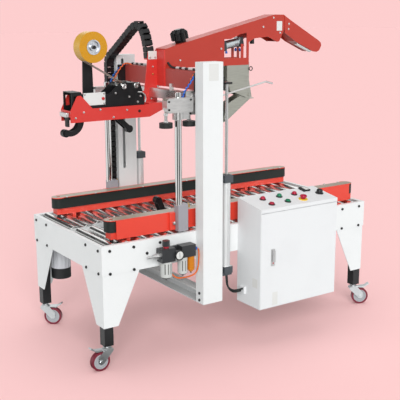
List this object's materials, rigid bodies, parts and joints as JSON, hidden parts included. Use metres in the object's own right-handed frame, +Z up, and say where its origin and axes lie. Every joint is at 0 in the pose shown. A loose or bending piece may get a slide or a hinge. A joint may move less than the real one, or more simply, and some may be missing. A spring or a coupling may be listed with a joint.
{
  "type": "carton sealer",
  "caption": "Carton sealing machine: roller bed on braked casters, side belt drives, a mast with a sliding tape head and arm, and a control cabinet.",
  "frame": {"origin": "on the floor, below the middle of the bounding box of the whole machine", "axes": "+X along the bed towards the infeed end, +Y away from the cabinet, +Z up"},
  "size_m": [1.8938, 1.11, 1.745],
  "materials": {
    "white_paint": "smooth white powder coat",
    "black_paint": "black powder coat",
    "zinc": "zinc plated steel",
    "tread": "dark red polyurethane tread on a grey hub",
    "roller_steel": "bright zinc plated roller tube",
    "cylinder_metal": "anodised aluminium tube with black caps",
    "bright_rod": "hard chromed",
    "red_paint": "red powder coat",
    "black_plastic": "moulded black plastic",
    "black_rubber": "black rubber",
    "stainless": "stainless sheet, satin",
    "tape": "yellow packing tape",
    "press_metal": "machined aluminium",
    "motor_grey": "grey finned motor housing with a black fan cap",
    "controls": "coloured lamps, buttons and knobs",
    "air_metal": "grey die-cast bodies",
    "bowl": "clear bowls in black guards"
  },
  "bodies": {
    "frame": {"bed_side_near": "white_paint", "bed_side_far": "white_paint", "end_plates": "white_paint", "legs": "white_paint", "leg_tubes": "black_paint", "under_frame": "zinc", "rollers_near": "roller_steel", "rollers_far": "roller_steel", "mast_columns": "white_paint", "lift_cylinders": "cylinder_metal", "cylinder_cables": "black_rubber", "lower_cartridge": "black_paint", "lower_outfeed_arm": "black_paint", "cabinet_shell": "white_paint", "panel_controls": "controls", "air_unit": "air_metal", "air_bowls": "bowl", "cable_chain_run": "black_plastic"},
    "head": {"lift_rods": "bright_rod", "carriages": "black_paint", "crossbeam": "red_paint", "guide_rail": "bright_rod", "arm_housing": "red_paint", "arm_post": "red_paint", "arm_nose": "red_paint", "star_knob": "black_plastic", "kicker_cylinder": "cylinder_metal", "kicker_bracket": "stainless", "tape_frame": "red_paint", "upper_cartridge": "black_paint", "tape_guides": "roller_steel", "roll_holder": "black_paint", "cable_chain_arch": "black_plastic"},
    "kicker": {"kicker_blade": "stainless"},
    "near_drive": {"drive_housing_near": "red_paint", "drive_belt_near": "black_rubber", "drive_motor_near": "motor_grey", "press_rod_near": "bright_rod"},
    "far_drive": {"drive_housing_far": "red_paint", "drive_belt_far": "black_rubber", "drive_motor_far": "motor_grey", "press_rod_far": "bright_rod"},
    "near_press": {"press_carriage_near": "press_metal", "press_wheels_near": "black_rubber"},
    "far_press": {"press_carriage_far": "press_metal", "press_wheels_far": "black_rubber"},
    "upper_outfeed_arm": {"upper_outfeed_arm": "black_paint"},
    "upper_infeed_arm": {"upper_infeed_arm": "black_paint"},
    "lower_infeed_arm": {"lower_infeed_arm": "black_paint"},
    "tape_roll": {"tape_roll": "tape", "roll_hub": "press_metal"},
    "cabinet_door": {"cabinet_door": "white_paint"},
    "caster_outfeed_near": {"caster_fork_outfeed_near": "zinc"},
    "wheel_outfeed_near": {"caster_wheel_outfeed_near": "tread"},
    "caster_outfeed_far": {"caster_fork_outfeed_far": "zinc"},
    "wheel_outfeed_far": {"caster_wheel_outfeed_far": "tread"},
    "caster_infeed_near": {"caster_fork_infeed_near": "zinc"},
    "wheel_infeed_near": {"caster_wheel_infeed_near": "tread"},
    "caster_infeed_far": {"caster_fork_infeed_far": "zinc"},
    "wheel_infeed_far": {"caster_wheel_infeed_far": "tread"}
  },
  "joints": [
    {"name": "head_lift", "type": "slide", "parent": "frame", "child": "head", "axis": [0, 0, 1], "range_m": [-0.39, 0], "deforming": ["cable_chain_run"]},
    {"name": "near_drive_slide", "type": "slide", "parent": "frame", "child": "near_drive", "axis": [0, 1, 0], "range_m": [0, 0.2]},
    {"name": "far_drive_slide", "type": "slide", "parent": "frame", "child": "far_drive", "axis": [0, -1, 0], "range_m": [0, 0.2]},
    {"name": "near_press_slide", "type": "slide", "parent": "head", "child": "near_press", "axis": [0, 1, 0], "range_m": [0, 0.2]},
    {"name": "far_press_slide", "type": "slide", "parent": "head", "child": "far_press", "axis": [0, -1, 0], "range_m": [0, 0.2]},
    {"name": "kicker_swing", "type": "hinge", "parent": "head", "child": "kicker", "pos_m": [0.28807, 0.075, 1.292], "axis": [0, -1, 0], "range_deg": [0, 120]},
    {"name": "upper_infeed_arm_swing", "type": "hinge", "parent": "head", "child": "upper_infeed_arm", "pos_m": [-0.58193, 0.075, 1.235], "axis": [0, -1, 0], "range_deg": [0, 35], "stiffness_Nm_per_rad": 6, "springref_deg": -20.05},
    {"name": "upper_outfeed_arm_swing", "type": "hinge", "parent": "head", "child": "upper_outfeed_arm", "pos_m": [-0.77694, 0.075, 1.235], "axis": [0, 1, 0], "range_deg": [0, 35]},
    {"name": "lower_infeed_arm_swing", "type": "hinge", "parent": "frame", "child": "lower_infeed_arm", "pos_m": [-0.25894, 0.075, 0.606], "axis": [0, -1, 0], "range_deg": [0, 60], "stiffness_Nm_per_rad": 6, "springref_deg": -20.05},
    {"name": "tape_roll_spin", "type": "hinge", "parent": "head", "child": "tape_roll", "pos_m": [-0.70093, 0.075, 1.588], "axis": [0, 1, 0], "continuous": true},
    {"name": "door_hinge", "type": "hinge", "parent": "frame", "child": "cabinet_door", "pos_m": [0.47107, -0.539, 0.216], "axis": [0, 0, 1], "range_deg": [0, 110]},
    {"name": "swivel_outfeed_near", "type": "hinge", "parent": "frame", "child": "caster_outfeed_near", "pos_m": [-0.84893, -0.302, 0.128], "axis": [0, 0, 1], "continuous": true},
    {"name": "spin_outfeed_near", "type": "hinge", "parent": "caster_outfeed_near", "child": "wheel_outfeed_near", "pos_m": [-0.89094, -0.302, 0.05], "axis": [0, -1, 0], "continuous": true},
    {"name": "swivel_outfeed_far", "type": "hinge", "parent": "frame", "child": "caster_outfeed_far", "pos_m": [-0.84893, 0.452, 0.128], "axis": [0, 0, 1], "continuous": true},
    {"name": "spin_outfeed_far", "type": "hinge", "parent": "caster_outfeed_far", "child": "wheel_outfeed_far", "pos_m": [-0.81676, 0.425, 0.05], "axis": [0.6428, 0.766, 0], "continuous": true},
    {"name": "swivel_infeed_near", "type": "hinge", "parent": "frame", "child": "caster_infeed_near", "pos_m": [0.85506, -0.302, 0.128], "axis": [0, 0, 1], "continuous": true},
    {"name": "spin_infeed_near", "type": "hinge", "parent": "caster_infeed_near", "child": "wheel_infeed_near", "pos_m": [0.89144, -0.323, 0.05], "axis": [0.5, 0.866, 0], "continuous": true},
    {"name": "swivel_infeed_far", "type": "hinge", "parent": "frame", "child": "caster_infeed_far", "pos_m": [0.85506, 0.452, 0.128], "axis": [0, 0, 1], "continuous": true},
    {"name": "spin_infeed_far", "type": "hinge", "parent": "caster_infeed_far", "child": "wheel_infeed_far", "pos_m": [0.81869, 0.473, 0.05], "axis": [-0.5, -0.866, 0], "continuous": true}
  ],
  "couplings": [
    {"joint": "far_drive_slide", "follows": "near_drive_slide", "ratio": 1},
    {"joint": "near_press_slide", "follows": "near_drive_slide", "ratio": 1},
    {"joint": "far_press_slide", "follows": "near_drive_slide", "ratio": 1},
    {"joint": "upper_outfeed_arm_swing", "follows": "upper_infeed_arm_swing", "ratio": 1}
  ]
}
